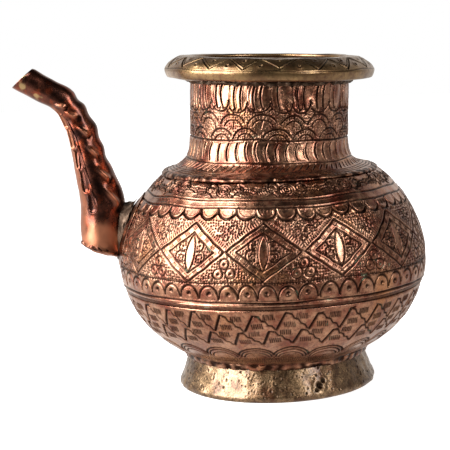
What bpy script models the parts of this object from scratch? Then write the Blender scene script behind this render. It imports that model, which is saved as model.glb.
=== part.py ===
"""Engraved copper ewer: a raised copper pot with a neck, mouth ring, foot ring and soldered spout.

Metres, +Z up. The pot's turning axis is vertical and stands at x = AXIS_X, so that the whole
object's footprint is centred on the origin, with the foot on z = 0. The spout points to -X.
The neck was soldered on a little out of true, so everything above the shoulder leans to +X.
"""
import math

import bmesh
import bpy
from mathutils import Vector

# ---- driving dimensions (metres) ----
BELLY_R = 0.0860            # widest radius of the belly
BELLY_Z = 0.0720            # height of the widest point
BELLY_BOTTOM_Z = 0.0080     # underside of the rounded bottom, inside the foot ring
BELLY_TOP_RISE = 0.06855    # height at which the upper curve would reach the axis
LOWER_POWER = 2.144         # fullness of the lower curve (2 is an ellipse)
UPPER_POWER = 1.945         # fullness of the upper curve
SHEET = 0.0015              # copper sheet thickness of the pot
GAP = 0.0003                # clearance between pieces that touch

SEAM_Z = 0.0589             # middle of the lap seam that joins the two bowls
SEAM_LIP = 0.0006           # thickness of each lip in the lap
BRAZE_HEIGHT = 0.0014
LAP_REACH = 0.0018          # how far the lips pass the middle of the seam

SHOULDER_Z = 0.1200         # the belly curve ends here and the shoulder flattens
NECK_R = 0.0440             # outside radius of the neck
NECK_SHEET = 0.0013
NECK_TOP_Z = 0.1823
SKIRT_R = 0.0572            # edge of the neck's flared skirt
SKIRT_Z = 0.1229

RIM_R = 0.0587              # edge of the mouth ring
RIM_UNDER_Z = 0.1724
RIM_EDGE_Z = 0.1773
RIM_TOP_Z = 0.1845
RIM_FLAT_R = 0.0496         # outer radius of the ring's flat top
MOUTH_R = 0.0429

FOOT_R = 0.0557             # lip of the foot ring
FOOT_TOP_R = 0.0499
FOOT_TOP_Z = 0.01875

LEAN = 0.0425               # radians: lean of the neck and the mouth ring towards +X
LEAN_FROM_Z = 0.112
LEAN_TO_Z = 0.128

SPOUT_REACH = 0.1419        # the spout's lowest tip corner, from the pot's axis
SPOUT_SHEET = 0.0013
# route of the spout's centre line and its outside radius: x, z, radius
SPOUT_ROUTE = [
    (-0.0952, 0.0805, 0.0127), (-0.0956, 0.0930, 0.0127), (-0.0950, 0.1063, 0.0126),
    (-0.0977, 0.1197, 0.0111), (-0.1013, 0.1341, 0.0094), (-0.1042, 0.1464, 0.0083),
    (-0.1082, 0.1561, 0.0073), (-0.1148, 0.1648, 0.0073), (-0.1255, 0.1716, 0.0074),
    (-0.1400, 0.1804, 0.0075),
]
TIP_POINT = (-0.1360, 0.17775)     # middle of the sloping cut at the tip, x and z
TIP_SLOPE = 0.707                  # radians: the cut's plane above the horizontal
BOOT_SLOPE = 0.30                  # the boot's lower edge drops this much per metre to the pot
CAP_DEPTH = 0.0034                 # how far the end cap domes below the boot
POUR_HOLE_R = 0.0060
POUR_HOLE_Z = 0.0840
SADDLE_Z = 0.0882                  # middle of the saddle plate
SADDLE_HALF_HEIGHT = 0.0222
SADDLE_HALF_WIDTH = 0.0200
SADDLE_SHEET = 0.0014
SOLDER_WIDTH = 0.0024
TIP_OVERRUN = 0.010                # how far the swept forms pass the tip before it is sawn off
CUTTER_DEPTH = 0.060               # longer than anything that a cutter goes through

SEGMENTS = 48               # facets round a turned piece
TUBE_SIDES = 16
HOLE_SIDES = 16
PLATE_SIDES = 28
CREASE = math.radians(35)   # edges bent further than this stay crisp
MERGE = 1e-6
AXIS_X = (SPOUT_REACH - BELLY_R) / 2

LOWER_RISE = BELLY_Z - BELLY_BOTTOM_Z


# ---- the pot's outline ----
def belly_point(z, inset=0.0):
    """Radius and height of the belly's skin at height z, moved inwards along its normal."""
    below = z < BELLY_Z
    rise, power = (LOWER_RISE, LOWER_POWER) if below else (BELLY_TOP_RISE, UPPER_POWER)
    share = min(abs(z - BELLY_Z) / rise, 1.0)
    radius = BELLY_R * math.sqrt(max(0.0, 1.0 - share ** power))
    # gradient of (r / R)^2 + share^power, which points outwards
    out_r = 2 * radius / BELLY_R ** 2
    out_z = (-1 if below else 1) * power * share ** (power - 1) / rise
    length = math.hypot(out_r, out_z)
    return (radius - inset * out_r / length, z - inset * out_z / length)


def belly_path(z_from, z_to, steps, inset=0.0):
    """Points along the belly from one height to another, evenly spread round its curve."""
    def angle(z):
        rise = LOWER_RISE if z < BELLY_Z else BELLY_TOP_RISE
        return math.asin(max(-1.0, min(1.0, (z - BELLY_Z) / rise)))

    first, last = angle(z_from), angle(z_to)
    path = []
    for step in range(steps + 1):
        turn = first + (last - first) * step / steps
        rise = LOWER_RISE if turn < 0 else BELLY_TOP_RISE
        path.append(belly_point(BELLY_Z + rise * math.sin(turn), inset))
    return path


def lean(point):
    """Bend a point above the shoulder over towards +X, as the neck is."""
    blend = max(0.0, min(1.0, (point.z - LEAN_FROM_Z) / (LEAN_TO_Z - LEAN_FROM_Z)))
    tilt = LEAN * blend * blend * (3 - 2 * blend)
    side = LEAN * (LEAN_TO_Z - LEAN_FROM_Z) * (blend ** 3 - blend ** 4 / 2)
    side += math.sin(LEAN) * max(0.0, point.z - LEAN_TO_Z)
    return Vector((side + point.x * math.cos(tilt), point.y, point.z - point.x * math.sin(tilt)))


# ---- making and placing pieces ----
def material(name, colour, roughness, metallic=1.0):
    finish = bpy.data.materials.new(name)
    finish.use_nodes = True
    shader = finish.node_tree.nodes["Principled BSDF"]
    shader.inputs["Base Color"].default_value = (*colour, 1.0)
    shader.inputs["Roughness"].default_value = roughness
    shader.inputs["Metallic"].default_value = metallic
    return finish


def place(name, bm, finish=None):
    """Turn a bmesh into a named object on the pot's axis."""
    bmesh.ops.recalc_face_normals(bm, faces=bm.faces)
    mesh = bpy.data.meshes.new(name)
    bm.to_mesh(mesh)
    bm.free()
    mesh.shade_smooth()
    mesh.set_sharp_from_angle(angle=CREASE)
    piece = bpy.data.objects.new(name, mesh)
    bpy.context.collection.objects.link(piece)
    piece.parent = pot_axis
    if finish is None:
        piece.hide_render = True
        piece.display_type = "WIRE"
    else:
        mesh.materials.append(finish)
    return piece


def turned(outline, leaning=True):
    """Spin an outline of (radius, height) points round the pot's axis."""
    bm = bmesh.new()
    verts = [bm.verts.new((radius, 0.0, height)) for radius, height in outline]
    edges = [bm.edges.new(pair) for pair in zip(verts, verts[1:])]
    if outline[0][0] > 0:
        edges.append(bm.edges.new((verts[-1], verts[0])))
    bmesh.ops.spin(bm, geom=verts + edges, cent=(0, 0, 0), axis=(0, 0, 1),
                   angle=math.tau, steps=SEGMENTS, use_merge=True)
    bmesh.ops.remove_doubles(bm, verts=bm.verts, dist=MERGE)
    if leaning:
        for vert in bm.verts:
            vert.co = lean(vert.co)
    return bm


def cut(piece, cutter, operation="DIFFERENCE"):
    modifier = piece.modifiers.new(cutter.name, "BOOLEAN")
    modifier.object = cutter
    modifier.operation = operation
    modifier.solver = "EXACT"


def belly_cutter(name, growth):
    """The pot's solid outer form, grown by some thickness, for cutting what sits against it."""
    outline = belly_path(BELLY_BOTTOM_Z, SHOULDER_Z, 16, -growth)
    outline = [(0.0, outline[0][1])] + outline[1:] + [(0.0, outline[-1][1])]
    return place(name, turned(outline, leaning=False))


# ---- the spout's route ----
def spout_station(index):
    """Centre, direction and radius of the spout's route at a fractional index."""
    last = len(SPOUT_ROUTE) - 1
    whole = min(int(index), last - 1)
    share = index - whole
    before, start = SPOUT_ROUTE[max(whole - 1, 0)], SPOUT_ROUTE[whole]
    end, after = SPOUT_ROUTE[whole + 1], SPOUT_ROUTE[min(whole + 2, last)]

    def smooth(axis):
        p0, p1, p2, p3 = before[axis], start[axis], end[axis], after[axis]
        value = p1 + 0.5 * share * (p2 - p0 + share * (2 * p0 - 5 * p1 + 4 * p2 - p3
                                                       + share * (3 * (p1 - p2) + p3 - p0)))
        slope = 0.5 * (p2 - p0 + 2 * share * (2 * p0 - 5 * p1 + 4 * p2 - p3)
                       + 3 * share ** 2 * (3 * (p1 - p2) + p3 - p0))
        return value, slope

    (x, slope_x), (z, slope_z), (radius, _) = smooth(0), smooth(1), smooth(2)
    return Vector((x, 0, z)), Vector((slope_x, 0, slope_z)).normalized(), radius


def boot_slant(point):
    """Slope a point at the boot's lower edge down towards the pot."""
    return point - Vector((0, 0, BOOT_SLOPE * (point.x - SPOUT_ROUTE[0][0])))


def spout_form(growth, below=0.0, beyond=0.0):
    """A solid swept along the spout's route, its radius changed by growth."""
    bm = bmesh.new()
    rings = []
    steps = 2 * (len(SPOUT_ROUTE) - 1)
    for step in range(steps + 1):
        centre, along, radius = spout_station(step / 2)
        if step == 0:
            centre = centre - Vector((0, 0, below))
        if step == steps:
            centre = centre + along * beyond
        across = Vector((1, 0, 0)) if step == 0 else Vector((along.z, 0, -along.x))
        ring = []
        for side in range(TUBE_SIDES):
            turn = math.tau * side / TUBE_SIDES
            offset = across * math.cos(turn) + Vector((0, 1, 0)) * math.sin(turn)
            point = centre + offset * (radius + growth)
            ring.append(bm.verts.new(boot_slant(point) if step == 0 else point))
        rings.append([bm.edges.new((ring[i - 1], ring[i])) for i in range(TUBE_SIDES)])
    for lower, upper in zip(rings, rings[1:]):
        bmesh.ops.bridge_loops(bm, edges=lower + upper)
    for end in (rings[0], rings[-1]):
        bmesh.ops.contextual_create(bm, geom=end)
    return bm


def tip_cutter(name):
    """A block past the sloping plane at which the spout's tip was sawn off."""
    bm = bmesh.new()
    bmesh.ops.create_cube(bm, size=CUTTER_DEPTH)
    for vert in bm.verts:
        vert.co.z += CUTTER_DEPTH / 2
    block = place(name, bm)
    block.location = (TIP_POINT[0], 0, TIP_POINT[1])
    block.rotation_euler = (0, -TIP_SLOPE, 0)
    return block


def turned_on_boot(outline):
    """Spin an outline of (radius, height above the boot's lower edge) round the boot's axis."""
    centre, _, _ = spout_station(0)
    bm = bmesh.new()
    verts = [bm.verts.new((radius, 0, centre.z + height)) for radius, height in outline]
    edges = [bm.edges.new(pair) for pair in zip(verts, verts[1:])]
    if outline[0][0] > 0:
        edges.append(bm.edges.new((verts[-1], verts[0])))
    bmesh.ops.spin(bm, geom=verts + edges, cent=(0, 0, 0), axis=(0, 0, 1),
                   angle=math.tau, steps=TUBE_SIDES, use_merge=True)
    bmesh.ops.remove_doubles(bm, verts=bm.verts, dist=MERGE)
    for vert in bm.verts:
        vert.co = boot_slant(vert.co + Vector((centre.x, 0, 0)))
    return bm


# ---- the pieces ----
def bowls(copper, spelter):
    lap_low, lap_high = SEAM_Z - LAP_REACH, SEAM_Z + LAP_REACH
    braze_low = lap_low + GAP
    braze_high = braze_low + BRAZE_HEIGHT
    lip_end = braze_high + GAP
    inner_lip = SEAM_LIP + GAP

    outside = belly_path(BELLY_BOTTOM_Z, lap_low, 8)
    inside = belly_path(lap_high, BELLY_BOTTOM_Z, 8, SHEET)
    outline = [(0.0, outside[0][1])] + outside[1:]
    outline += [belly_point(lap_low, inner_lip), belly_point(lap_high, inner_lip)]
    outline += inside[:-1] + [(0.0, inside[-1][1])]
    place("lower_bowl", turned(outline), copper)

    shoulder = [(0.0570, 0.1212), (0.0520, 0.1227), (0.0440, 0.1238)]
    outline = belly_path(lip_end, SHOULDER_Z, 9) + shoulder
    outline += [(r, z - SHEET) for r, z in reversed(shoulder)]
    outline += belly_path(SHOULDER_Z - SHEET / 2, lap_high + GAP, 9, SHEET)
    outline += [belly_point(lap_high + GAP, SEAM_LIP), belly_point(lip_end, SEAM_LIP)]
    upper = place("upper_bowl", turned(outline), copper)

    outline = [belly_point(braze_low), belly_point(braze_high)]
    outline += [belly_point(braze_high, SEAM_LIP), belly_point(braze_low, SEAM_LIP)]
    place("belly_braze", turned(outline), spelter)
    return upper


def neck(copper, solder):
    inner = NECK_R - NECK_SHEET
    outline = [
        (SKIRT_R, SKIRT_Z), (0.0515, 0.1248), (0.0482, 0.1268), (0.0460, 0.1295),
        (0.0446, 0.1330), (NECK_R, 0.1390), (NECK_R, NECK_TOP_Z), (inner, NECK_TOP_Z),
        (inner, 0.1385), (0.0434, 0.1322), (0.0448, 0.1286), (0.0473, 0.1258),
        (0.0511, 0.1236), (SKIRT_R - 0.0002, 0.1218),
    ]
    place("neck_collar", turned(outline), copper)
    outline = [(0.0576, 0.1217), (0.0607, 0.1206), (0.0605, 0.1219), (0.0591, 0.1228),
               (0.0576, 0.1230)]
    place("neck_solder", turned(outline), solder)


def mouth_ring(brass, solder):
    bore = NECK_R + GAP
    ledge_z = NECK_TOP_Z + GAP
    outline = [
        (bore, RIM_UNDER_Z), (0.0564, RIM_UNDER_Z), (0.0577, 0.1740), (RIM_R, RIM_EDGE_Z),
        (0.0576, 0.1790), (0.0562, 0.1807), (0.0537, 0.1824), (0.0508, 0.1841),
        (RIM_FLAT_R, RIM_TOP_Z), (MOUTH_R + 0.0008, RIM_TOP_Z), (MOUTH_R, RIM_TOP_Z - 0.0006),
        (MOUTH_R, ledge_z), (bore, ledge_z),
    ]
    place("rim_ring", turned(outline), brass)
    top = RIM_UNDER_Z - GAP
    outline = [(bore, top - 0.0022), (bore + 0.0008, top - 0.0018),
               (bore + 0.0019, top - 0.0010), (bore + 0.0026, top), (bore, top)]
    place("rim_solder", turned(outline), solder)


def foot(tinned, solder):
    outline = [
        (FOOT_TOP_R, FOOT_TOP_Z), (0.0505, 0.0160), (0.0523, 0.0105), (0.0544, 0.0055),
        (0.0555, 0.0035), (FOOT_R, 0.0020), (0.0552, 0.0006), (0.0542, 0.0),
        (0.0506, 0.0), (0.0503, 0.0007), (0.0517, 0.0050), (0.0498, 0.0100),
        (0.0481, 0.0155), (0.0474, 0.0172),
    ]
    place("foot_ring", turned(outline), tinned)
    outline = [(0.0506, 0.0189), (0.0507, 0.0171), (0.0512, 0.0173), (0.0520, 0.0186),
               (0.0523, 0.0199)]
    place("foot_solder", turned(outline), solder)


def spout(upper_bowl, copper, boot_copper, solder):
    plate_low = belly_cutter("plate_inner_form", GAP)
    plate_high = belly_cutter("plate_outer_form", GAP + SADDLE_SHEET)
    seat = belly_cutter("spout_seat_form", 2 * GAP + SADDLE_SHEET)
    feather = belly_cutter("solder_form", 2 * GAP + SADDLE_SHEET + SOLDER_WIDTH)
    outer_form = place("spout_outer_form", spout_form(GAP, TIP_OVERRUN, TIP_OVERRUN))
    bore_form = place("spout_bore_form", spout_form(-SPOUT_SHEET, TIP_OVERRUN, 2 * TIP_OVERRUN))

    # one pouring hole through the bowl and the saddle plate, level with the spout's boot
    bm = bmesh.new()
    bmesh.ops.create_cone(bm, cap_ends=True, segments=HOLE_SIDES, radius1=POUR_HOLE_R,
                          radius2=POUR_HOLE_R, depth=CUTTER_DEPTH)
    hole = place("pour_hole_form", bm)
    hole.location = (-BELLY_R, 0, POUR_HOLE_Z)
    hole.rotation_euler = (0, math.pi / 2, 0)
    cut(upper_bowl, hole)

    bm = bmesh.new()
    bmesh.ops.create_cone(bm, cap_ends=True, segments=PLATE_SIDES, radius1=1.0, radius2=1.0,
                          depth=CUTTER_DEPTH)
    for vert in bm.verts:
        vert.co.x *= SADDLE_HALF_HEIGHT
        vert.co.y *= SADDLE_HALF_WIDTH
    saddle = place("spout_saddle", bm, copper)
    saddle.location = (-BELLY_R, 0, SADDLE_Z)
    saddle.rotation_euler = (0, math.pi / 2, 0)
    cut(saddle, plate_high, "INTERSECT")
    cut(saddle, plate_low)
    cut(saddle, hole)

    tube = place("spout_tube", spout_form(0.0, 0.0, TIP_OVERRUN), copper)
    cut(tube, bore_form)
    cut(tube, seat)
    cut(tube, tip_cutter("tip_form"))

    boot_r = SPOUT_ROUTE[0][2]
    outline = [(0.0, -GAP), (boot_r, -GAP)]
    for step in range(1, 6):
        turn = math.pi / 2 * step / 5
        radius = boot_r * math.cos(turn) if step < 5 else 0.0
        outline.append((radius, -GAP - CAP_DEPTH * math.sin(turn)))
    cut(place("spout_end_cap", turned_on_boot(outline), boot_copper), seat)

    def bead_outline(growth):
        inner = boot_r + 0.0005
        return [(inner, -0.0014 - growth), (boot_r + 0.0010, -0.0012 - growth),
                (boot_r + 0.0014 + growth, 0.0002), (boot_r + 0.0011, 0.0014 + growth),
                (inner, 0.0017 + growth)]

    cut(place("spout_cap_solder", turned_on_boot(bead_outline(0)), solder), seat)

    fillet = place("spout_solder", spout_form(SOLDER_WIDTH), solder)
    cut(fillet, feather, "INTERSECT")
    cut(fillet, seat)
    cut(fillet, outer_form)
    cut(fillet, place("bead_outer_form", turned_on_boot(bead_outline(GAP)[1:-1] + [
        (boot_r - 0.002, 0.0017 + GAP), (boot_r - 0.002, -0.0014 - GAP)])))


for old in list(bpy.data.objects):
    bpy.data.objects.remove(old, do_unlink=True)
pot_axis = bpy.data.objects.new("pot_axis", None)
bpy.context.collection.objects.link(pot_axis)
pot_axis.location = (AXIS_X, 0, 0)

raised_copper = material("raised_copper", (0.42, 0.16, 0.09), 0.30)
dark_copper = material("dark_copper", (0.27, 0.07, 0.04), 0.25)
boot_finish = material("boot_copper", (0.50, 0.20, 0.11), 0.32)
cast_brass = material("cast_brass", (0.36, 0.22, 0.07), 0.33)
tinned_bronze = material("tinned_bronze", (0.40, 0.33, 0.22), 0.38)
spelter_brass = material("spelter_brass", (0.45, 0.30, 0.12), 0.40)
soft_solder = material("soft_solder", (0.30, 0.27, 0.24), 0.45)

upper_bowl_piece = bowls(raised_copper, spelter_brass)
neck(raised_copper, soft_solder)
mouth_ring(cast_brass, soft_solder)
foot(tinned_bronze, soft_solder)
spout(upper_bowl_piece, dark_copper, boot_finish, soft_solder)
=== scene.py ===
import math

import bpy
import numpy as np
from mathutils import Matrix, Vector


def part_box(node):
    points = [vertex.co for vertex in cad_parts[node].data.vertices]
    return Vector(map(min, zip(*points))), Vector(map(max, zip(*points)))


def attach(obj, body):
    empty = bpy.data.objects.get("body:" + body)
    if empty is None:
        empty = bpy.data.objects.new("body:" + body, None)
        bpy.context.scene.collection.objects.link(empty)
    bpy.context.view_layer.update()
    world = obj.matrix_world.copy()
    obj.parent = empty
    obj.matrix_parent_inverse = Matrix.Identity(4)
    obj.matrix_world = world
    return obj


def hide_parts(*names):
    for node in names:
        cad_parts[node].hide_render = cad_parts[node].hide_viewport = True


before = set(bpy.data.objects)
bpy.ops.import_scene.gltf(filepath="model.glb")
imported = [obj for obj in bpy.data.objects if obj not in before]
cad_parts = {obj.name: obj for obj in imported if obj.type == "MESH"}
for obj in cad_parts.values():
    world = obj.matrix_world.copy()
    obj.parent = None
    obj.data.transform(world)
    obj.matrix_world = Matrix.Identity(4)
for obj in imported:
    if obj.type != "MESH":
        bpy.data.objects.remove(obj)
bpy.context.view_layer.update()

MM = 0.001

# ---------------------------------------------------------------------------
# The pot's form, in millimetres about its turning axis
# ---------------------------------------------------------------------------


def node_box(node):
    """A CAD node's box in millimetres."""
    low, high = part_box(node)
    return np.array(low) / MM, np.array(high) / MM


foot_low, foot_high = node_box("foot_ring")
bowl_low, bowl_high = node_box("upper_bowl")
AXIS_X = (foot_low[0] + foot_high[0]) / 2
BELLY_R = (bowl_high[1] - bowl_low[1]) / 2
BELLY_Z = 72.0
LOWER_RISE, LOWER_POWER = 64.0, 2.144
UPPER_RISE, UPPER_POWER = 68.55, 1.945
SHEET = 1.5
SEAM_LOW = node_box("belly_braze")[0][2]
SEAM_HIGH = node_box("belly_braze")[1][2]
SHOULDER_Z = 120.0
NECK_R = 44.0
LEAN = 0.0425
LEAN_FROM, LEAN_TO = 118.0, 132.0


def belly_radius(z):
    """The belly's outer radius at a height: one curve below its widest place, one above."""
    z = np.asarray(z, float)
    low = z < BELLY_Z
    share = np.abs(z - BELLY_Z) / np.where(low, LOWER_RISE, UPPER_RISE)
    share = np.clip(share, 0, 1) ** np.where(low, LOWER_POWER, UPPER_POWER)
    return BELLY_R * np.sqrt(np.clip(1 - share, 0, None))


def lean(points):
    """Bend what is above the shoulder over towards +X, as the neck stands."""
    blend = np.clip((points[..., 2] - LEAN_FROM) / (LEAN_TO - LEAN_FROM), 0, 1)
    tilt = LEAN * blend * blend * (3 - 2 * blend)
    side = LEAN * (LEAN_TO - LEAN_FROM) * (blend ** 3 - blend ** 4 / 2)
    side = side + math.sin(LEAN) * np.clip(points[..., 2] - LEAN_TO, 0, None)
    bent = points.copy()
    bent[..., 0] = side + points[..., 0] * np.cos(tilt)
    bent[..., 2] = points[..., 2] - points[..., 0] * np.sin(tilt)
    return bent


def smooth_step(value):
    """From 0 to 1, easing in and out."""
    value = np.clip(value, 0, 1)
    return value * value * (3 - 2 * value)


def resample(outline, spacing):
    """Points along an outline at an even spacing, joined by straight runs."""
    outline = np.array(outline, float)
    reach = np.concatenate([[0], np.cumsum(np.hypot(*np.diff(outline, axis=0).T))])
    count = max(2, int(round(reach[-1] / spacing)) + 1)
    along = np.linspace(0, reach[-1], count)
    return np.stack([np.interp(along, reach, outline[:, k]) for k in (0, 1)], 1)


def rounded(outline, cycles=2):
    """Corner cutting: each pass rounds the outline's corners; its ends stay."""
    outline = np.array(outline, float)
    for _ in range(cycles):
        start, end = outline[:-1], outline[1:]
        cut = np.stack([start * 0.75 + end * 0.25, start * 0.25 + end * 0.75], 1).reshape(-1, 2)
        outline = np.concatenate([outline[:1], cut[1:-1], outline[-1:]])
    return outline


# ---------------------------------------------------------------------------
# Meshes from grids of points
# ---------------------------------------------------------------------------


def grid_piece(name, points, loop_rows=False, fields=None, caps=False):
    """A quad mesh from rows x columns of points (mm, axis at 0); columns run round and close."""
    rows, columns, _ = points.shape
    placed = points.reshape(-1, 3) * MM
    placed[:, 0] += AXIS_X * MM
    row = np.arange(rows if loop_rows else rows - 1)
    column = np.arange(columns)
    a = row[:, None] * columns + column[None, :]
    b = row[:, None] * columns + (column[None, :] + 1) % columns
    up = ((row + 1) % rows)[:, None] * columns
    c = up + (column[None, :] + 1) % columns
    d = up + column[None, :]
    quads = np.stack([a, b, c, d], -1).reshape(-1, 4)
    mesh = bpy.data.meshes.new(name)
    mesh.vertices.add(len(placed))
    mesh.vertices.foreach_set("co", placed.astype(np.float32).ravel())
    loops = quads.ravel()
    starts = np.arange(0, len(loops), 4)
    if caps and not loop_rows:
        last = (rows - 1) * columns
        ends = [np.arange(columns)[::-1], last + np.arange(columns)]
        starts = np.concatenate([starts, [len(loops), len(loops) + columns]])
        loops = np.concatenate([loops] + ends)
    mesh.loops.add(len(loops))
    mesh.loops.foreach_set("vertex_index", loops.astype(np.int32))
    mesh.polygons.add(len(starts))
    mesh.polygons.foreach_set("loop_start", starts.astype(np.int32))
    mesh.update(calc_edges=True)
    mesh.validate()
    lay_out(mesh, rows, columns, loop_rows)
    for field, values in (fields or {}).items():
        layer = mesh.attributes.new(field, "FLOAT", "POINT")
        layer.data.foreach_set("value", np.asarray(values, np.float32).ravel())
    mesh.shade_smooth()
    piece = bpy.data.objects.new(name, mesh)
    bpy.context.collection.objects.link(piece)
    return piece


def lay_out(mesh, rows, columns, loop_rows):
    """One flat map of the grid, with its columns across and its rows up."""
    layer = mesh.uv_layers.new(name="OFBake")
    spans = rows if loop_rows else rows - 1
    row, column = np.divmod(np.arange(spans * columns), columns)
    u0, u1 = column / columns, (column + 1) / columns
    v0, v1 = row / spans, (row + 1) / spans
    corners = np.stack([u0, v0, u1, v0, u1, v1, u0, v1], 1).ravel()
    flat = np.zeros(len(mesh.loops) * 2)
    flat[:len(corners)] = corners
    layer.data.foreach_set("uv", flat.astype(np.float32) * 0.998 + 0.001)


def turned_grid(outline, columns, relief=None, leaning=True):
    """Rows of points round the axis for an outline of (radius, height), pushed out by relief."""
    outline = np.array(outline, float)
    theta = np.arange(columns) * math.tau / columns
    ahead = np.gradient(outline, axis=0)
    length = np.hypot(ahead[:, 0], ahead[:, 1]) + 1e-9
    out_r, out_z = ahead[:, 1] / length, -ahead[:, 0] / length
    push = np.zeros((len(outline), columns)) if relief is None else relief
    radius = outline[:, 0:1] + out_r[:, None] * push
    height = outline[:, 1:2] + out_z[:, None] * push
    points = np.stack([radius * np.sin(theta), -radius * np.cos(theta),
                       height + 0 * theta], -1)
    return lean(points) if leaning else points


# ---------------------------------------------------------------------------
# The chaser's marks: depth of cut over a grid of points
# ---------------------------------------------------------------------------


def waves(theta, along, size, count, seed, radius=80.0):
    """Soft irregular swell between about -1 and 1, with bumps about this many mm across."""
    rng = np.random.default_rng(seed)
    total = 0
    for _ in range(count):
        turn = rng.uniform(0, math.tau)
        scale = rng.uniform(0.7, 1.4) * math.tau / (2 * size)
        around = round(radius * scale * math.cos(turn))
        total = total + np.cos(around * theta + scale * math.sin(turn) * along
                               + rng.uniform(0, math.tau))
    return total / math.sqrt(count / 2)


def to_line(x, y, ax, ay, bx, by):
    """Distance to the straight stroke from a to b."""
    dx, dy = bx - ax, by - ay
    share = np.clip(((x - ax) * dx + (y - ay) * dy) / (dx * dx + dy * dy), 0, 1)
    return np.hypot(x - ax - share * dx, y - ay - share * dy)


def to_ring(x, y, cx, cy, radius):
    """Distance to a whole circle."""
    return np.abs(np.hypot(x - cx, y - cy) - radius)


def to_arc(x, y, cx, cy, radius, middle, half):
    """Distance to part of a circle, from middle - half to middle + half (degrees)."""
    turn = np.arctan2(y - cy, x - cx) - np.radians(middle)
    turn = (turn + math.pi) % math.tau - math.pi
    half = np.radians(half)
    swing = np.clip(turn, -half, half) + np.radians(middle)
    return np.hypot(x - cx - radius * np.cos(swing), y - cy - radius * np.sin(swing))


def to_curl(x, y, cx, cy, radius, middle, half, shrink=0.35):
    """Distance to an arc whose radius tightens from one end to the other."""
    turn = np.arctan2(y - cy, x - cx) - np.radians(middle)
    turn = (turn + math.pi) % math.tau - math.pi
    half = np.radians(half)
    held = np.clip(turn, -half, half)
    size = radius * (1 - shrink * (held / half))
    swing = held + np.radians(middle)
    return np.hypot(x - cx - size * np.cos(swing), y - cy - size * np.sin(swing))


CHISEL = 1.35        # how hard the whole pot was chased, against each mark's usual depth
LIP = 0.35           # height of the lip that a punch raises, against the mark's usual depth
STRAY_UP = 0.35      # mm that a line strays up and down, as lines do by hand
STRAY_ROUND = 0.45   # mm that it strays sideways


class Chasing:
    """Cuts gathered over a turned surface: theta from the front (rad), along its outline (mm)."""

    def __init__(self, outline, columns, seed):
        outline = np.array(outline, float)
        steps = np.hypot(*np.diff(outline, axis=0).T)
        along = np.concatenate([[0], np.cumsum(steps)])
        theta = np.arange(columns) * math.tau / columns
        self.shape = (len(outline), columns)
        self.height = np.repeat(outline[:, 1:2], columns, 1).ravel()
        self.radius = np.repeat(outline[:, 0:1], columns, 1).ravel()
        self.along = np.repeat(along[:, None], columns, 1).ravel()
        self.theta = np.repeat(theta[None, :], len(outline), 0).ravel()
        self.outline, self.path = outline, along
        self.cut = np.zeros(len(self.along))
        self.burr = np.zeros(len(self.along))
        self.stain = np.zeros(len(self.along))
        self.seed = seed
        wander = waves(self.theta, self.along, 26, 14, seed + 1)
        drift = waves(self.theta, self.along, 30, 14, seed + 2)
        self.line_along = self.along + STRAY_UP * wander
        self.line_theta = self.theta + STRAY_ROUND * drift / np.maximum(self.radius, 20)

    def at_height(self, z):
        """Distance along the outline where it passes this height."""
        heights = self.outline[:, 1]
        order = np.argsort(heights)
        return float(np.interp(z, heights[order], self.path[order]))

    def band(self, z_low, z_high, count, phase=0.0, slack=1.5):
        """A band of repeats between two heights; phase turns it by a share of one repeat."""
        return Band(self, self.at_height(z_low), self.at_height(z_high), count, phase, slack)

    def ring(self, z, width, depth):
        """One line all the way round."""
        self.add(slice(None), np.abs(self.line_along - self.at_height(z)), width, depth)

    def add(self, index, distance, width, depth):
        """Cut a groove where the distance is 0, with a raised lip beside it and dirt in it."""
        half = width / 2
        cut = CHISEL * depth * smooth_step(1.15 * (1 - distance / half))
        self.cut[index] = np.maximum(self.cut[index], cut)
        lip = LIP * depth * np.exp(-((distance - half * 1.5) / (half * 0.6)) ** 2)
        self.burr[index] = np.maximum(self.burr[index], lip)
        stain = np.clip(depth * 3.2, 0, 1) * smooth_step(1.5 * (1 - distance / (half * 1.5)))
        self.stain[index] = np.maximum(self.stain[index], stain)


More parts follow.
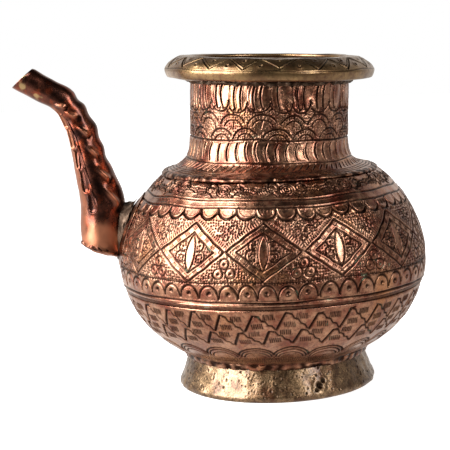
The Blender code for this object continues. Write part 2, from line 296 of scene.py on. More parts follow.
class Band:
    """One ring of repeats: x is mm from the repeat's middle, y is mm up from its lower edge."""

    def __init__(self, chasing, low, high, count, phase, slack):
        self.chasing = chasing
        low, high = min(low, high), max(low, high)
        self.size = high - low
        self.index = np.where((chasing.line_along > low - slack)
                              & (chasing.line_along < high + slack))[0]
        sign = 1.0 if chasing.outline[-1, 1] > chasing.outline[0, 1] else -1.0
        along = chasing.line_along[self.index]
        self.y = along - low if sign > 0 else high - along
        turn = chasing.line_theta[self.index] / math.tau * count + phase
        self.cell = np.floor(turn).astype(int) % count
        self.pitch = math.tau * chasing.radius[self.index] / count
        self.x = ((turn % 1.0) - 0.5) * self.pitch
        self.count = count
        self.rng = np.random.default_rng(chasing.seed + 37 * count + int(low * 7))
        self.force = self.vary(0.75, 1.15)

    def vary(self, low, high):
        """A value for each repeat, looked up at every point."""
        return self.rng.uniform(low, high, self.count)[self.cell]

    def cut(self, distance, width, depth, where=None):
        """One mark in every repeat, a little deeper in some, or only where it is wanted."""
        depth = depth * self.force
        if where is not None:
            depth = depth * where
        self.chasing.add(self.index, distance, width, depth)

    def comb(self, cx, cy, strokes, gap, length, slant, width, depth):
        """A block of short parallel strokes."""
        x, y = self.x - cx, self.y - cy
        x = x - slant * y
        slot = np.round(x / gap) if strokes % 2 else np.floor(x / gap) + 0.5
        slot = np.clip(slot, -(strokes - 1) / 2, (strokes - 1) / 2)
        across = np.abs(x - slot * gap)
        beyond = np.clip(np.abs(y) - length / 2, 0, None)
        self.cut(np.hypot(across, beyond), width, depth)

    def stipple(self, gap, size, depth, where):
        """Punched dots, one in each small square of ground, none quite in line."""
        gx, gy = np.floor(self.x / gap), np.floor(self.y / gap)
        mix = np.sin(gx * 127.1 + gy * 311.7 + self.cell * 74.7) * 43758.5453
        mix2 = np.sin(gx * 269.5 + gy * 183.3 + self.cell * 19.9) * 24634.6345
        ox, oy = (mix - np.floor(mix) - 0.5) * 0.5, (mix2 - np.floor(mix2) - 0.5) * 0.5
        dx = self.x - (gx + 0.5 + ox) * gap
        dy = self.y - (gy + 0.5 + oy) * gap
        self.cut(np.hypot(dx, dy), size, depth, where)


# ---------------------------------------------------------------------------
# Ornament bands; every measure is in millimetres on the copper
# ---------------------------------------------------------------------------


def shoulder_scroll(band):
    """A rosette between two curling stems, with hatched leaves where the repeats meet."""
    x, y, size = band.x, band.y, band.size
    for radius in (1.1, 2.6, 3.9):
        band.cut(to_ring(x, y, 0, size * 0.5, radius), 0.8, 0.45)
    spokes, spoke_at = 8, 3.2
    turn = np.arctan2(y - size * 0.5, x) * spokes / math.tau
    spoke = np.abs(turn - np.round(turn)) * math.tau * spoke_at / spokes
    reach = np.abs(np.hypot(x, y - size * 0.5) - spoke_at)
    band.cut(np.hypot(spoke, np.clip(reach - 0.5, 0, None)), 0.6, 0.3)
    for side in (-1, 1):
        tilt = 90 - 62 * side
        band.cut(to_curl(x, y, side * 7.6, size * 0.62, 3.4, tilt, 165), 0.9, 0.5)
        band.cut(to_curl(x, y, side * 7.9, size * 0.62, 1.7, tilt, 160), 0.75, 0.42)
        band.cut(to_arc(x, y, side * 12.4, -1.5, 7.2, 90 + 14 * side, 52), 0.95, 0.5)
        band.cut(to_arc(x, y, side * 13.2, size + 1.2, 5.4, -90 - 10 * side, 56), 0.9, 0.46)
        band.comb(side * 13.0, size * 0.48, 6, 1.25, 4.6, 0.55 * side, 0.6, 0.32)
        band.comb(side * 5.4, 1.7, 4, 1.0, 2.2, -0.7 * side, 0.6, 0.3)
        for lift, length in ((2.2, 3.4), (4.4, 3.0), (6.6, 2.4)):
            band.cut(to_line(x, y, side * 10.6, lift, side * (10.6 - length), lift + 1.7), 0.7, 0.36)


def hanging_scallops(band):
    """A hanging half circle, and in most of them a block of short strokes."""
    lean_x = band.vary(-0.5, 0.5)
    radius = band.pitch / 2 * band.vary(0.98, 1.05)
    x, y = band.x - lean_x, band.y
    middle = band.size + 0.2
    drop = (middle - y) * radius / (band.size * band.vary(0.86, 1.0))
    band.cut(to_arc(x, -drop, 0, 0, radius, -90, 86), 1.35, 0.6)
    shown = band.vary(0, 1) > 0.35
    slot = np.clip(np.floor((x - band.vary(-1, 1)) / 0.85) + 0.5, -3.5, 3.5) * 0.85
    beyond = np.clip(np.abs(y - band.size + 2.0) - 1.25, 0, None)
    band.cut(np.hypot(x - slot, beyond), 0.55, 0.26, shown)


def lozenges(band):
    """A lozenge with a twin border, and within it a pointed leaf between two flowers."""
    half_w, half_h = band.pitch / 2, band.size / 2
    x, y = np.abs(band.x), band.y - half_h
    side = np.hypot(half_w, half_h)
    edge = (x * half_h + np.abs(y) * half_w - half_w * half_h) / side
    run = (x * half_w - np.abs(y) * half_h) / side
    wander = 0.14 * np.sin(run * 0.6 + band.vary(0, 6))
    edge = edge + wander
    band.cut(np.abs(edge + 0.4), 1.25, 0.52)
    band.cut(np.abs(edge + 4.2 * band.vary(0.92, 1.08)), 1.0, 0.46)
    # groups of three dashes across the border
    within = (run % 5.6) - 2.8
    slot = np.clip(np.round(within / 0.9), -1, 1) * 0.9
    beyond = np.clip(np.abs(edge + 2.2) - 0.75, 0, None)
    band.cut(np.hypot(within - slot, beyond), 0.55, 0.34)

    inner = edge < -4.9
    x = band.x
    # every fourth lozenge has a starry flower, and the others a heart-shaped one
    star = band.cell % 4 == 3
    heart = ~star
    for side in (-1, 1):
        band.cut(to_arc(x, y, -side * 17.9, -0.4, 20.5, 90 - 90 * side, 29.5), 0.9, 0.5)
        band.cut(to_arc(x, y, side * 4.9, 3.4, 2.5, 90 - 90 * side, 118), 0.95, 0.46, heart)
        band.cut(to_arc(x, y, side * 5.6, -2.0, 3.1, 90 - 90 * side, 125), 0.95, 0.46, heart)
        band.cut(to_curl(x, y, side * 5.4, -2.4, 1.5, 90 + 60 * side, 150, 0.3), 0.8, 0.42, heart)
        band.cut(np.hypot(x - side * 4.9, y - 3.4), 1.4, 0.4, heart)
        band.cut(to_ring(x, y, side * 4.4, -4.6, 2.4), 0.8, 0.4, inner & star)
        band.cut(np.hypot(x - side * 4.4, y + 4.6), 1.3, 0.4, inner & star)
        for corner in (45, 135, 225, 315):
            turn = math.radians(corner)
            cx, cy = side * 5.4 + 3.7 * math.cos(turn), 2.3 + 3.7 * math.sin(turn)
            band.cut(to_arc(x, y, cx, cy, 2.7, corner + 180, 44), 0.7, 0.42, inner & star)
        band.cut(np.hypot(x - side * 5.4, y - 2.3), 1.1, 0.4, inner & star)
        band.cut(to_line(x, y, side * 1.4, -11.5, side * 5.0, -6.8), 0.7, 0.36, inner)
    band.stipple(1.55, 1.1, 0.48, inner & (np.abs(x) > 2.4))


def lozenge_corners(band):
    """The triangles left above and below the points where two lozenges meet."""
    half_w, half_h = band.pitch / 2, band.size / 2
    x, y = band.x, band.y - half_h
    side = np.hypot(half_w, half_h)
    across = half_w - np.abs(x)
    open_side = (across * half_h + np.abs(y) * half_w - half_w * half_h) / side > 0.9
    above, below = open_side & (y > 0), open_side & (y < 0)
    for cx, cy in ((0, -6.1), (-3.4, -11.2), (3.4, -11.2)):
        band.cut(to_ring(x, y, cx, cy, 2.75), 0.85, 0.46, below)
        band.cut(np.hypot(x - cx, y - cy), 1.7, 0.46, below)
    clear = np.minimum(np.hypot(x, y + 6.1), np.hypot(np.abs(x) - 3.4, y + 11.2)) > 3.4
    band.stipple(1.5, 1.1, 0.5, below & clear)
    for turn in (-1, 1):
        band.cut(to_curl(x, y, turn * 3.6, 11.2, 2.3, 90 + 70 * turn, 150, 0.4), 0.75, 0.4, above)
    band.cut(to_ring(x, y, 0, 7.2, 1.5), 0.8, 0.4, above)
    run = (np.abs(x) * half_w + y * half_h) / side
    dash = np.abs((run % 1.35) - 0.67)
    edge = (across * half_h + np.abs(y) * half_w - half_w * half_h) / side
    band.cut(np.hypot(dash, np.clip(np.abs(edge - 2.0) - 0.7, 0, None)), 0.6, 0.34, above)
    band.stipple(1.5, 1.1, 0.5, above & (edge > 3.2))


def arches(band):
    """A standing arch with a punched dot."""
    x, y = band.x + band.vary(-0.4, 0.4), band.y
    radius = band.pitch / 2 * band.vary(0.94, 1.0)
    rise = y / (band.size * band.vary(0.86, 0.96)) * radius
    band.cut(to_arc(x, rise, 0, 0, radius, 90, 87), 1.1, 0.5)
    dot = np.hypot(x - band.vary(-0.5, 0.5), y - band.size * band.vary(0.34, 0.46))
    band.cut(dot, 2.7 * band.vary(0.85, 1.15), 0.6)


def peaks(band, comb_lift):
    """Chased points, each with a plain stroke up its left side and a stepped right side."""
    x, y = band.x, band.y
    half, top = band.pitch / 2, band.size * band.vary(0.9, 1.02)
    crown = -half * band.vary(0.30, 0.42)
    band.cut(to_line(x, y, -half * 0.93, 0.6, crown, top * 0.93), 1.6, 0.6)
    steps = 3
    first, last = crown + 0.9, half - 0.4
    for step in range(steps):
        start, end = step / steps, (step + 1) / steps
        ax, bx = first + (last - first) * start, first + (last - first) * end
        ay, by = top * (0.93 - 0.86 * start), top * (0.93 - 0.86 * end)
        bow = 0.9
        mx, my = (ax + bx) / 2 + 0.45 * bow, (ay + by) / 2 + bow
        band.cut(to_line(x, y, ax, ay, mx, my), 1.15, 0.5)
        band.cut(to_line(x, y, mx, my, bx, by), 1.0, 0.46)
    band.comb(half * 0.66, band.size * comb_lift, 7, 1.0, 3.0, 0.1, 0.7, 0.34)
    band.comb(-half * 0.12, band.size * 0.30, 6, 1.05, 3.0, -0.1, 0.7, 0.34)
    hook = band.vary(0, 1) > 0.6
    band.cut(to_line(x, y, crown + 0.5, top * 0.96, crown + 2.6, top * 0.99), 0.9, 0.36, hook)


def petals(band):
    """Three flat arcs, one within another, and a fan of faint strokes."""
    x, y = band.x, band.y
    half, top = band.pitch / 2, band.size
    for inset, width in ((0.0, 1.3), (2.0, 1.0), (4.6, 0.9)):
        reach = half - inset * 0.55
        rise = y + inset - top * 0.52
        radius = (reach ** 2 + (top * 0.36) ** 2) / (top * 0.72)
        band.cut(to_arc(x, rise, 0, top * 0.36 - radius, radius, 90,
                        np.degrees(np.arcsin(np.clip(reach / radius, 0, 1)))), width, 0.42)
    fan = np.arctan2(x, y + 16)
    slot = np.round(fan / 0.055) * 0.055
    away = np.abs(fan - slot) * np.hypot(x, y + 16)
    band.cut(np.hypot(away, np.clip(np.abs(y - top * 0.22) - 3.0, 0, None)), 0.55, 0.2)


def strokes_over_scallops(band):
    """Deep swags, each with a few long bowed strokes standing in it."""
    x, y = band.x + band.vary(-0.5, 0.5), band.y
    half = band.pitch / 2
    drop = half * band.vary(0.85, 1.15)
    swag = (y - drop) * half / drop
    band.cut(to_arc(x, swag, 0, 0, half * 1.02, -90, 92), 1.1, 0.5)
    for place in (-0.95, -0.33, 0.33):
        low = drop * (1 - np.sqrt(1 - min(abs(place), 0.94) ** 2)) + 1.2
        share = (y - low) / (band.size - low)
        bow = 1.3 * (1 - (share * 2 - 1) ** 2) * band.vary(0.5, 1.3)
        along = np.clip(low - y, 0, None) + np.clip(y - band.size + 0.6, 0, None)
        away = np.hypot(x - place * half + bow - 0.6, along)
        band.cut(away, 1.15, 0.55, band.vary(0, 1) > 0.06)


def wave_scales(band):
    """Two staggered rows of uneven leaf scales, veined and stippled between their edges."""
    half = band.pitch / 2
    rows = 2
    lift = band.size / rows
    for row in range(rows + 1):
        shift = half if row % 2 else 0.0
        px = (band.x + shift + half + band.vary(-0.8, 0.8)) % (2 * half) - half
        rise = (band.y - (row - 0.42) * lift) / 1.05
        for radius, width in ((half * 1.0, 1.1), (half * 0.66, 0.85)):
            band.cut(to_arc(px, rise, 1.0, 0, radius, 80, 76), width, 0.5)
        band.cut(to_line(px, rise, 0.2, 0.6, 1.4, half * 0.62), 0.7, 0.34)
        slot = np.round(np.arctan2(rise, px) / 0.24) * 0.24
        away = np.abs(np.arctan2(rise, px) - slot) * np.hypot(px, rise)
        ray = np.hypot(away, np.clip(np.abs(np.hypot(px, rise) - half * 0.83) - 0.45, 0, None))
        band.cut(ray, 0.6, 0.3, rise > 0)
    band.stipple(1.5, 0.9, 0.34, np.abs(band.x) < half * 0.9)


def curved_strokes(band, bow, width, depth, slant=0.0):
    """One long stroke, bowed or slanting."""
    x, y = band.x, band.y
    mid = (y / band.size * 2 - 1)
    curve = bow * (1 - mid * mid) - slant * (y - band.size / 2)
    beyond = np.clip(0.9 - y, 0, None) + np.clip(y - band.size + 0.9, 0, None)
    band.cut(np.hypot(x + curve - bow / 2, beyond), width, depth)


def rim_zigzag(band):
    """A double zigzag with a dot in each angle."""
    x, y, half, size = band.x, band.y, band.pitch / 2, band.size
    for side in (-1, 1):
        band.cut(to_line(x, y, 0, size * 0.10, side * half, size * 0.92), 0.85, 0.42)
        band.cut(to_line(x, y, 0, size * 0.30, side * half * 0.82, size * 0.92), 0.5, 0.22)
        band.cut(np.hypot(np.abs(x) - half, y - size * 0.34), 1.8, 0.5)
    band.cut(np.hypot(x, y - size * 0.76), 1.7, 0.5)


# ---------------------------------------------------------------------------
# Finishes
# ---------------------------------------------------------------------------


def colour(hex_code):
    """An sRGB hex colour as the linear values that a shader takes."""
    channels = [int(hex_code[i:i + 2], 16) / 255 for i in (1, 3, 5)]
    linear = [c / 12.92 if c <= 0.04045 else ((c + 0.055) / 1.055) ** 2.4 for c in channels]
    return (*linear, 1.0)


def connect(tree, node, inputs):
    """Set some of a node's inputs, each to a value or to another node's output."""
    for name, value in inputs.items():
        if isinstance(value, bpy.types.NodeSocket):
            tree.links.new(value, node.inputs[name])
        else:
            node.inputs[name].default_value = value


def add(tree, kind, inputs=None, output=0, **settings):
    """Add a node with its settings and links; gives back the output that is wanted."""
    node = tree.nodes.new("ShaderNode" + kind)
    for name, value in settings.items():
        setattr(node, name, value)
    connect(tree, node, inputs or {})
    return node.outputs[output]


def cloud(tree, size_mm, detail=4.0, rough=0.6, low=0.35, high=0.65):
    """Blotches about this many millimetres across, from 0 to 1."""
    where = add(tree, "TexCoord", output="Object")
    noise = add(tree, "TexNoise", {"Vector": where, "Scale": 1 / (size_mm * MM), "Detail": detail,
                                   "Roughness": rough})
    return add(tree, "MapRange", {"Value": noise, "From Min": low, "From Max": high})


def cover(tree, under, mask, share, over):
    """Lay one colour over another: by this share where the mask is 1, and not at all where it is 0."""
    amount = add(tree, "Math", {0: mask, 1: share}, operation="MULTIPLY")
    return add(tree, "Mix", {0: amount, 6: under, 7: over}, output=2, data_type="RGBA")


def metal(name, coat=0.7):
    """A metallic finish, with a coat that thins out where old dirt fills the cuts."""
    finish = bpy.data.materials.new(name)
    finish.use_nodes = True
    tree = finish.node_tree
    shader = tree.nodes["Principled BSDF"]
    # a film of old wax and oil over the metal, which whitens its brightest glints
    stain = add(tree, "Attribute", output="Fac", attribute_name="stain")
    film = add(tree, "MapRange", {"Value": stain, "To Min": coat, "To Max": 0.0})
    connect(tree, shader, {"Metallic": 1.0, "Coat Weight": film, "Coat Roughness": 0.22})
    return finish, tree, shader, stain


def engraved_copper():
    """Raised copper, chased with punches: warm where handling keeps it bright, brown where it
    tarnishes, and nearly black in the cuts, where old dirt and oxide stay. Inside the pot it is
    lined with dull grey-brown scale."""
    finish, tree, shader, stain = metal("engraved_copper")
    brown = cloud(tree, 11, detail=5, rough=0.66)
    body = cover(tree, colour("#D8A280"), brown, 1.0, colour("#86492E"))
    red = cloud(tree, 9, detail=4, rough=0.65, low=0.50, high=0.66)
    body = cover(tree, body, red, 0.65, colour("#8C3B28"))
    warm = cloud(tree, 23, detail=5, rough=0.6, low=0.56, high=0.68)
    body = cover(tree, body, warm, 0.6, colour("#DE9A66"))
    freckles = cloud(tree, 1.6, detail=3, rough=0.7, low=0.48, high=0.68)
    body = cover(tree, body, freckles, 0.7, colour("#55291F"))

    cuts = add(tree, "Math", {0: stain, 1: 0.94}, operation="MULTIPLY")
    body = cover(tree, body, cuts, 1.0, colour("#1E100D"))
    green = cloud(tree, 7, detail=4, rough=0.6, low=0.62, high=0.70)
    green = add(tree, "Math", {0: green, 1: cuts}, operation="MULTIPLY")
    body = cover(tree, body, green, 0.6, colour("#6F8168"))

    inside = add(tree, "Attribute", output="Fac", attribute_name="inside")
    scale = cover(tree, colour("#7A6C60"), cloud(tree, 5), 1.0, colour("#4A3D34"))
    body = cover(tree, body, inside, 1.0, scale)
    bare = add(tree, "MapRange", {"Value": inside, "To Min": 1.0, "To Max": 0.3})

    wear_and_sheen = cloud(tree, 6, detail=5, rough=0.7)
    dull = add(tree, "MapRange", {"Value": wear_and_sheen, "To Min": 0.20, "To Max": 0.36})
    dirt = add(tree, "Math", {0: cuts, 1: 0.12}, operation="MULTIPLY")
    dull = add(tree, "Math", {0: dull, 1: dirt}, operation="ADD")
    pores = cloud(tree, 1.3, detail=4, rough=0.65, low=0.2, high=0.8)
    dents = cloud(tree, 4.5, detail=3, rough=0.5, low=0.2, high=0.8)
    dents = add(tree, "Math", {0: dents, 1: 3.0}, operation="MULTIPLY")
    skin = add(tree, "Math", {0: pores, 1: dents}, operation="ADD")
    skin = add(tree, "Bump", {"Height": skin, "Distance": 0.045 * MM, "Strength": 0.85})
    connect(tree, shader, {"Base Color": body, "Metallic": bare, "Roughness": dull, "Normal": skin})
    return finish


def dark_copper():
    """Sheet copper burnished over a heavy red oxide: almost black-red between sharp glints."""
    finish, tree, shader, stain = metal("burnished_dark_copper", coat=0.4)
    boot, brass, inside = [add(tree, "Attribute", output="Fac", attribute_name=name)
                           for name in ("boot", "brass", "inside")]
    oxide = cloud(tree, 9, detail=5, rough=0.6)
    body = cover(tree, colour("#7A4534"), oxide, 1.0, colour("#43221A"))
    red = cloud(tree, 6, detail=3, rough=0.5, low=0.52, high=0.66)
    # BC7A5A is the boot's brighter copper; on the spout it is also painted highlight on the key-lit
    # outer side and beside the leaves
    for mask, share, over in ((red, 0.7, "#A84A28"), (boot, 1.0, "#BC7A5A"), (brass, 0.7, "#C4A876"),
                              (stain, 0.93, "#180C0A"), (inside, 1.0, "#2A1B16")):
        body = cover(tree, body, mask, share, colour(over))
    wear_and_sheen = cloud(tree, 5, detail=5, rough=0.7)
    dull = add(tree, "MapRange", {"Value": wear_and_sheen, "To Min": 0.18, "To Max": 0.34})
    rubbed = add(tree, "Math", {0: boot, 1: 0.16}, operation="MULTIPLY")
    dull = add(tree, "Math", {0: dull, 1: rubbed}, operation="ADD")
    pores = cloud(tree, 1.6, detail=4, rough=0.65, low=0.2, high=0.8)
    skin = add(tree, "Bump", {"Height": pores, "Distance": 0.04 * MM, "Strength": 0.7})
    connect(tree, shader, {"Base Color": body, "Roughness": dull, "Normal": skin})
    return finish


def cast_brass():
    """Sand-cast brass, filed and worn: dull olive-brown skin with gold where hands rub it."""
    finish, tree, shader, stain = metal("worn_cast_brass")
    rubbed = cloud(tree, 8, detail=5, rough=0.65)
    body = cover(tree, colour("#B08E60"), rubbed, 1.0, colour("#745034"))
    specks = cloud(tree, 1.3, detail=3, rough=0.7, low=0.5, high=0.7)
    body = cover(tree, body, specks, 0.5, colour("#4A3524"))
    body = cover(tree, body, stain, 0.9, colour("#1F1510"))
    wear_and_sheen = cloud(tree, 4, detail=5, rough=0.7)
    dull = add(tree, "MapRange", {"Value": wear_and_sheen, "To Min": 0.26, "To Max": 0.44})
    pores = cloud(tree, 1.0, detail=4, rough=0.7, low=0.2, high=0.8)
    skin = add(tree, "Bump", {"Height": pores, "Distance": 0.035 * MM, "Strength": 0.8})
    connect(tree, shader, {"Base Color": body, "Roughness": dull, "Normal": skin})
    return finish


def tinned_bronze():
    """Cast bronze whose tin wash has worn through: pale silver-gold, with brown pits and blotches."""
    finish, tree, shader, stain = metal("worn_tinned_bronze")
    bronze = cloud(tree, 10, detail=5, rough=0.65)
    body = cover(tree, colour("#AC8C68"), bronze, 1.0, colour("#5C3C28"))
    specks = cloud(tree, 1.2, detail=4, rough=0.8, low=0.49, high=0.60)
    body = cover(tree, body, specks, 0.85, colour("#40301F"))
    body = cover(tree, body, stain, 0.9, colour("#1D1510"))
    wear_and_sheen = cloud(tree, 3, detail=5, rough=0.7)
    dull = add(tree, "MapRange", {"Value": wear_and_sheen, "To Min": 0.26, "To Max": 0.46})
    pores = cloud(tree, 1.2, detail=4, rough=0.75, low=0.2, high=0.8)
    skin = add(tree, "Bump", {"Height": pores, "Distance": 0.10 * MM, "Strength": 0.9})
    connect(tree, shader, {"Base Color": body, "Roughness": dull, "Normal": skin})
    return finish


def old_solder():
    """Tin-lead solder left as it ran: dull grey-brown, pitted, with brighter high spots."""
    finish, tree, shader, stain = metal("old_soft_solder", coat=0.0)
    grey = cloud(tree, 3.5, detail=4, rough=0.7)
    body = cover(tree, colour("#8E7866"), grey, 1.0, colour("#523E32"))
    body = cover(tree, body, stain, 0.8, colour("#241A15"))
    pores = cloud(tree, 0.9, detail=4, rough=0.7, low=0.2, high=0.8)
    skin = add(tree, "Bump", {"Height": pores, "Distance": 0.12 * MM, "Strength": 0.8})
    connect(tree, shader, {"Base Color": body, "Roughness": 0.56, "Normal": skin})
    return finish


ENGRAVED_COPPER = engraved_copper()
DARK_COPPER = dark_copper()
CAST_BRASS = cast_brass()
TINNED_BRONZE = tinned_bronze()
OLD_SOLDER = old_solder()


# ---------------------------------------------------------------------------
# The pot's turned pieces
# ---------------------------------------------------------------------------


def keep(piece, node, finish):
    """Give a finished piece its body and its material, and hide the CAD node it stands for."""
    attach(piece, "root")
    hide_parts(node)
    piece.data.materials.append(finish)


def shell(name, outer, inner, columns, relief, stain, caps=False):
    """A closed turned piece: a chased outer skin and a plainer inner one."""
    skin = turned_grid(outer, columns, relief)
    lining = turned_grid(inner, columns)
    points = np.concatenate([skin, lining])
    inside = np.concatenate([np.zeros(skin.shape[:2]), np.ones(lining.shape[:2])])
    dark = np.concatenate([stain, np.zeros(lining.shape[:2])])
    fields = {"stain": dark, "inside": inside}
    return grid_piece(name, points, not caps, fields, caps)


def belly_outline(z_from, z_to, spacing, inset=0.0):
    """The belly's outline between two heights, moved inwards by the inset."""
    fine = np.linspace(z_from, z_to, 600)
    radius = belly_radius(fine)
    slope = np.gradient(radius, fine)
    length = np.hypot(1, slope)
    path = np.stack([radius - inset / length, fine + inset * slope / length], 1)
    return resample(path, spacing)


EDGE_FADE = 0.8      # mm over which the relief settles


def handmade(chasing, swell, planish):
    """The swell and the faint planishing marks that a hammer leaves in raised copper."""
    wide = waves(chasing.theta, chasing.along, 34, 18, chasing.seed + 5)
    small = waves(chasing.theta, chasing.along, 7, 40, chasing.seed + 6)
    return swell * wide + planish * small


def relief_of(chasing, swell=0.30, planish=0.06):
    """How far the metal stands out, and how dark it is; the relief settles at both ends."""
    relief = handmade(chasing, swell, planish) - chasing.cut + chasing.burr
    ends = np.minimum(chasing.along, chasing.path[-1] - chasing.along)
    relief = relief * smooth_step(ends / EDGE_FADE)
    return relief.reshape(chasing.shape), chasing.stain.reshape(chasing.shape)


BELLY_COLUMNS = 1280
SKIN = 0.42          # mm between rows of points on the belly
LOZENGES_AT = (72.2, 102.0)
LOZENGES = 13


def build_upper_bowl():
    """The shoulder and the upper half of the belly, down to the seam."""
    outer = np.concatenate([belly_outline(SEAM_HIGH + 0.3, SHOULDER_Z, SKIN),
                            resample([(58.4, 120.75), (57, 121.2), (52, 122.7), (44, 123.8)], 1)])
    chasing = Chasing(outer, BELLY_COLUMNS, seed=11)
    shoulder_scroll(chasing.band(112.9, 120.3, count=12, phase=0.30))
    chasing.ring(112.4, width=1.1, depth=0.42)
    chasing.ring(108.6, width=1.1, depth=0.45)
    hanging_scallops(chasing.band(102.4, 107.9, count=45))
    lozenges(chasing.band(*LOZENGES_AT, LOZENGES, phase=0.682))
    lozenge_corners(chasing.band(*LOZENGES_AT, LOZENGES, phase=0.182))
    chasing.ring(72.0, width=0.85, depth=0.4)
    arches(chasing.band(63.2, 71.2, count=50))
    chasing.ring(61.2, width=1.3, depth=0.6)
    relief, stain = relief_of(chasing)
    inner = np.concatenate([resample([(44, 122.3), (52, 121.2), (57, 119.7)], 2),
                            belly_outline(SHOULDER_Z - 1, SEAM_HIGH + 1.2, 4, SHEET)])
    piece = shell("upper_bowl_skin", outer, inner, BELLY_COLUMNS, relief, stain)
    keep(piece, "upper_bowl", ENGRAVED_COPPER)


def build_lower_bowl():
    """The lower half of the belly, and the plain rounded bottom inside the foot."""
    bottom = BELLY_Z - LOWER_RISE
    outer = np.concatenate([resample([(0.4, bottom), (28, bottom + 2.55)], 1.5)[:-1],
                            belly_outline(11.0, SEAM_LOW - 0.3, SKIN)])
    outer[:, 0] = np.where(outer[:, 1] < 11.0, outer[:, 0], belly_radius(outer[:, 1]))
    chasing = Chasing(outer, BELLY_COLUMNS, seed=23)
    peaks(chasing.band(45.0, 56.0, count=30, phase=0.1), comb_lift=0.74)
    peaks(chasing.band(36.4, 45.6, count=30, phase=0.6), comb_lift=0.80)
    petals(chasing.band(22.5, 36.0, count=22, phase=0.2))
    relief, stain = relief_of(chasing)
    inner = np.concatenate([belly_outline(SEAM_LOW - 0.6, 13.0, 4, SHEET),
                            resample([(30, 12.4), (0.4, bottom + SHEET)], 4)])
    piece = shell("lower_bowl_skin", outer, inner, BELLY_COLUMNS, relief, stain, caps=True)
    keep(piece, "lower_bowl", ENGRAVED_COPPER)


def build_braze():
    """A sunken ring of spelter in the seam of the belly."""
    outer = belly_outline(SEAM_LOW, SEAM_HIGH, 0.35)
    chasing = Chasing(outer, BELLY_COLUMNS, seed=31)
    groove = 0.42 + 0.12 * waves(chasing.theta, chasing.along, 14, 16, 32)
    relief = (-groove).reshape(chasing.shape)
    inner = belly_outline(SEAM_HIGH, SEAM_LOW, 0.7, 1.1)
    piece = shell("seam_braze", outer, inner, BELLY_COLUMNS, relief, 0 * relief + 0.75)
    keep(piece, "belly_braze", ENGRAVED_COPPER)


NECK_COLUMNS = 860


def build_neck():
    """The neck and its flared skirt."""
    low = rounded([(57.2, 122.9), (51.5, 124.8), (48.2, 126.8), (46.0, 129.5), (44.6, 133.0),
                   (NECK_R, 139.0)])
    outer = resample(np.concatenate([low, [(NECK_R, 182.3)]]), 0.34)
    chasing = Chasing(outer, NECK_COLUMNS, seed=47)
    strokes_over_scallops(chasing.band(155.5, 170.8, count=24, phase=0.1))
    wave_scales(chasing.band(141.4, 156.5, count=17, phase=0.4))
    chasing.ring(140.6, width=1.0, depth=0.46)
    curved_strokes(chasing.band(129.6, 139.8, count=50), bow=1.6, width=1.15, depth=0.6)
    chasing.ring(129.0, width=0.8, depth=0.36)
    curved_strokes(chasing.band(124.8, 128.8, count=84), bow=0.0, width=1.0, depth=0.48, slant=0.8)
    for height in (124.5, 123.9, 123.35):
        chasing.ring(height, width=0.8, depth=0.34)
    relief, stain = relief_of(chasing, swell=0.30, planish=0.085)
    inner = resample([(42.7, 182.3), (42.7, 138.5), (43.4, 132.2), (44.8, 128.6), (47.3, 125.8),
                      (51.1, 123.6), (57.0, 121.8)], 2)
    piece = shell("neck_skin", outer, inner, NECK_COLUMNS, relief, stain)
    keep(piece, "neck_collar", ENGRAVED_COPPER)


def build_rim():
    """The cast mouth ring: a flat top, an engraved bevel and a rounded edge."""
    edge = rounded([(44.3, 172.4), (56.4, 172.4), (57.7, 174.0), (58.7, 177.3), (57.6, 179.0),
                    (56.2, 180.7), (53.7, 182.4), (50.8, 184.1), (49.6, 184.5), (43.7, 184.5)])
    outer = resample(edge, 0.34)
    chasing = Chasing(outer, NECK_COLUMNS, seed=59)
    start = np.argmin(np.hypot(outer[:, 0] - 58.2, outer[:, 1] - 178.3))
    end = np.argmin(np.hypot(outer[:, 0] - 50.2, outer[:, 1] - 184.3))
    bevel = Band(chasing, chasing.path[start], chasing.path[end], count=18, phase=0.3, slack=1.0)
    rim_zigzag(bevel)
    for spot in (start, end):
        chasing.add(slice(None), np.abs(chasing.line_along - chasing.path[spot]), 0.6, 0.24)
    relief, stain = relief_of(chasing, swell=0.16, planish=0.02)
    inner = rounded([(43.7, 184.5), (42.9, 183.9), (42.9, 182.6), (44.3, 182.6)], 1)[1:]
    piece = shell("rim_cast", outer, inner, NECK_COLUMNS, relief, stain)
    keep(piece, "rim_ring", CAST_BRASS)


FOOT_PITS = 520
# casting flaws at the foot's front: angle from the front, height, size and depth
DEEP_PITS = ((0.40, 7.5, 4.2, 0.9), (0.45, 9.6, 3.0, 0.7), (0.36, 5.4, 2.6, 0.6))


def build_foot():
    """The cast foot ring, flared and pitted."""
    low = rounded([(51.7, 5.0), (50.3, 0.7), (50.6, 0.0), (54.2, 0.0), (55.2, 0.6), (55.7, 2.0),
                   (55.5, 3.5), (54.4, 5.5), (52.3, 10.5), (50.5, 16.0), (49.9, 18.75)])
    outer = resample(low, 0.4)
    chasing = Chasing(outer, NECK_COLUMNS, seed=67)
    rng = np.random.default_rng(68)
    for _ in range(FOOT_PITS):
        theta, height = rng.uniform(0, math.tau), rng.uniform(2.5, 18)
        size, depth = rng.uniform(0.7, 1.7), rng.uniform(0.08, 0.28)
        turn = (chasing.theta - theta + math.pi) % math.tau - math.pi
        spot = np.where((np.abs(turn) < 0.04) & (np.abs(chasing.height - height) < 2))[0]
        away = np.hypot(turn[spot] * chasing.radius[spot], chasing.height[spot] - height)
        chasing.add(spot, away, size, depth)
    for turn, height, size, depth in DEEP_PITS:
        away = np.hypot((chasing.theta - turn) * chasing.radius, chasing.height - height)
        chasing.add(slice(None), away, size, depth)
    relief, stain = relief_of(chasing, swell=0.24, planish=0.10)
    relief = relief * (outer[:, 1:2] > 0.8)
    inner = rounded([(49.9, 18.75), (47.4, 17.2), (48.1, 15.5), (49.8, 10.0), (51.7, 5.0)], 1)[1:]
    piece = shell("foot_cast", outer, inner, NECK_COLUMNS, relief, stain)
    keep(piece, "foot_ring", TINNED_BRONZE)


